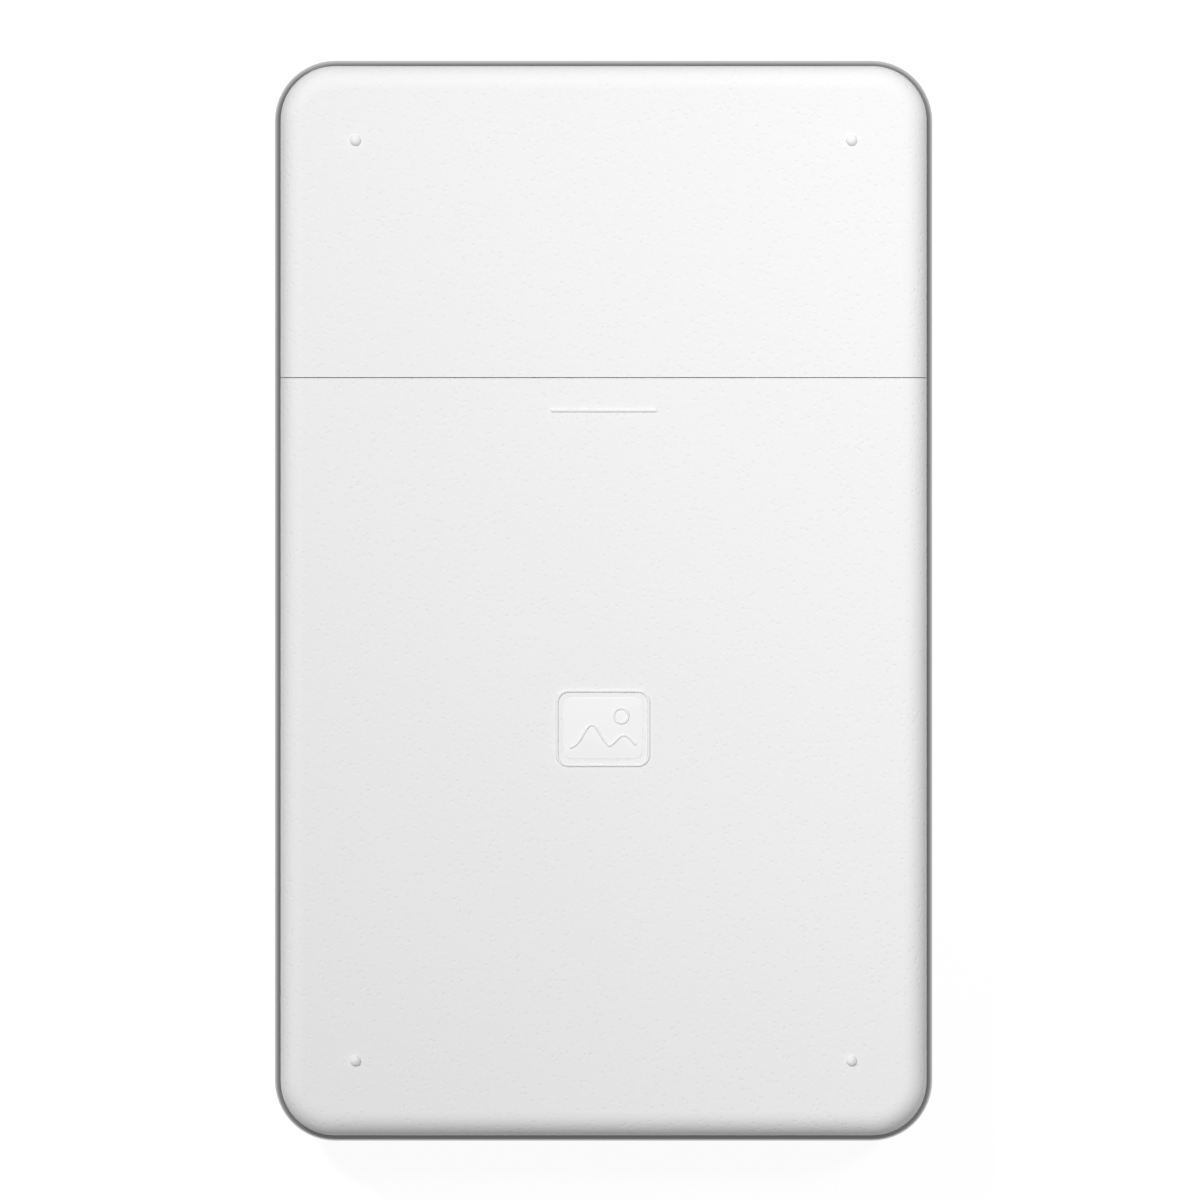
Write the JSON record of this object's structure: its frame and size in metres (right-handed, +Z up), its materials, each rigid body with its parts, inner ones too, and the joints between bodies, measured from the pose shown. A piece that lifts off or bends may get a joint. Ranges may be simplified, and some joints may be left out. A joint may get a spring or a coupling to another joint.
{
  "type": "pocket photo printer",
  "caption": "Pocket photo printer with a slide-off paper cover, press flap, pick and platen rollers, gear train, tilting print head, paper flag and sprung power button",
  "frame": {"origin": "middle of the flat lower face, at the level it rests on", "axes": "+X across to the gear side, +Y along the paper path towards the exit slot, +Z up towards the face with the cover"},
  "size_m": [0.0762, 0.1252, 0.02],
  "materials": {
    "shell_white": "fine moulded grain, matte",
    "band_grey": "satin grey",
    "frame_plastic": "moulded, matte",
    "black_plastic": "moulded, satin",
    "bright_steel": "ground bright",
    "screw_steel": "zinc plated",
    "spring_steel": "rolled, blued slightly",
    "flap_plastic": "moulded, satin",
    "cork": "fine cork and rubber sheet",
    "roller_rubber": "ground rubber",
    "gear_plastic": "acetal, satin",
    "brass": "turned",
    "motor_steel": "drawn can",
    "bar_ceramic": "ground ceramic",
    "sink_aluminium": "extruded, milled",
    "flex_film": "polyimide film",
    "board_green": "solder mask",
    "chip_black": "moulded packages",
    "connector_ivory": "moulded",
    "shield_tin": "tinned sheet",
    "button_grey": "satin grey",
    "led_body": "clear resin",
    "clear_guide": "clear moulding",
    "pouch_foil": "laminated foil",
    "tape_foam": "foam tape",
    "lead_red": "insulated lead",
    "lead_blue": "insulated lead"
  },
  "bodies": {
    "printer_body": {"bottom_shell": "shell_white", "frame_band": "band_grey", "top_panel": "shell_white", "chassis": "frame_plastic", "housing_screws": "screw_steel", "shaft_bushes": "brass", "separation_pad": "roller_rubber", "gear_pins": "bright_steel", "gear_clips": "screw_steel", "motor_can": "motor_steel", "head_rod": "bright_steel", "head_springs": "spring_steel", "head_flex": "flex_film", "flag_pin": "bright_steel", "flag_spring": "spring_steel", "photo_sensor": "black_plastic", "main_board": "board_green", "shield_can": "shield_tin", "board_chips": "chip_black", "board_connectors": "connector_ivory", "usb_port": "shield_tin", "power_switch": "black_plastic", "status_led": "led_body", "light_guide": "clear_guide", "battery_pack": "pouch_foil", "battery_board": "board_green", "battery_leads": "lead_red", "battery_tape": "tape_foam", "motor_leads": "lead_blue"},
    "cover": {"paper_cover": "shell_white", "press_flap_pin": "bright_steel", "press_spring": "spring_steel"},
    "flap": {"press_flap": "flap_plastic", "press_pad": "cork"},
    "platen_roller": {"platen_shaft": "bright_steel", "platen_rubber": "roller_rubber", "platen_gear": "gear_plastic"},
    "pick_roller": {"pick_shaft": "bright_steel", "pick_tyres": "roller_rubber", "pick_gear": "gear_plastic"},
    "idler_a_wheel": {"idler_a": "gear_plastic"},
    "idler_b_wheel": {"idler_b": "gear_plastic"},
    "idler_c_wheel": {"idler_c": "gear_plastic"},
    "reduction_wheel": {"reduction_gear": "gear_plastic"},
    "motor_rotor": {"motor_shaft": "bright_steel", "motor_pinion": "brass"},
    "print_head": {"print_bar": "bar_ceramic", "heat_sink": "sink_aluminium"},
    "sensor_flag": {"paper_flag": "black_plastic"},
    "button": {"power_button": "button_grey"}
  },
  "joints": [
    {"name": "cover_slide", "type": "slide", "parent": "printer_body", "child": "cover", "axis": [0, 1, 0], "range_m": [-0.078, 0]},
    {"name": "flap_tilt", "type": "hinge", "parent": "cover", "child": "flap", "pos_m": [0, -0.01575, 0.0164], "axis": [1, 0, 0], "range_deg": [0, 6], "stiffness_Nm_per_rad": 0.1, "springref_deg": -2.86, "deforming": ["press_spring"]},
    {"name": "platen_spin", "type": "hinge", "parent": "printer_body", "child": "platen_roller", "pos_m": [0, 0.03803, 0.008], "axis": [1, 0, 0], "continuous": true},
    {"name": "pick_spin", "type": "hinge", "parent": "printer_body", "child": "pick_roller", "pos_m": [0, 0.01075, 0.008], "axis": [1, 0, 0], "continuous": true},
    {"name": "idler_a_spin", "type": "hinge", "parent": "printer_body", "child": "idler_a_wheel", "pos_m": [0, 0.03046, 0.008], "axis": [1, 0, 0], "continuous": true},
    {"name": "idler_b_spin", "type": "hinge", "parent": "printer_body", "child": "idler_b_wheel", "pos_m": [0, 0.02439, 0.008], "axis": [1, 0, 0], "continuous": true},
    {"name": "idler_c_spin", "type": "hinge", "parent": "printer_body", "child": "idler_c_wheel", "pos_m": [0, 0.01832, 0.008], "axis": [1, 0, 0], "continuous": true},
    {"name": "reduction_spin", "type": "hinge", "parent": "printer_body", "child": "reduction_wheel", "pos_m": [0, 0.0451, 0.008], "axis": [1, 0, 0], "continuous": true},
    {"name": "motor_spin", "type": "hinge", "parent": "printer_body", "child": "motor_rotor", "pos_m": [0, 0.05173, 0.0064], "axis": [1, 0, 0], "continuous": true},
    {"name": "head_tilt", "type": "hinge", "parent": "printer_body", "child": "print_head", "pos_m": [0, 0.03053, 0.014], "axis": [1, 0, 0], "range_deg": [0, 1.2], "stiffness_Nm_per_rad": 0.3, "springref_deg": -3.44, "deforming": ["head_springs"]},
    {"name": "flag_tilt", "type": "hinge", "parent": "printer_body", "child": "sensor_flag", "pos_m": [-0.012, 0.02539, 0.009], "axis": [-1, 0, 0], "range_deg": [0, 40], "stiffness_Nm_per_rad": 0.0002, "springref_deg": -17.19},
    {"name": "button_press", "type": "slide", "parent": "printer_body", "child": "button", "axis": [1, 0, 0], "range_m": [0, 0.00035], "stiffness_N_per_m": 500, "springref_m": -0.0004}
  ],
  "couplings": [
    {"joint": "pick_spin", "follows": "platen_spin", "ratio": 1},
    {"joint": "idler_a_spin", "follows": "platen_spin", "ratio": -1.5},
    {"joint": "idler_b_spin", "follows": "platen_spin", "ratio": 1.5},
    {"joint": "idler_c_spin", "follows": "platen_spin", "ratio": -1.5},
    {"joint": "reduction_spin", "follows": "platen_spin", "ratio": -1.8},
    {"joint": "motor_spin", "follows": "platen_spin", "ratio": 3.6}
  ]
}
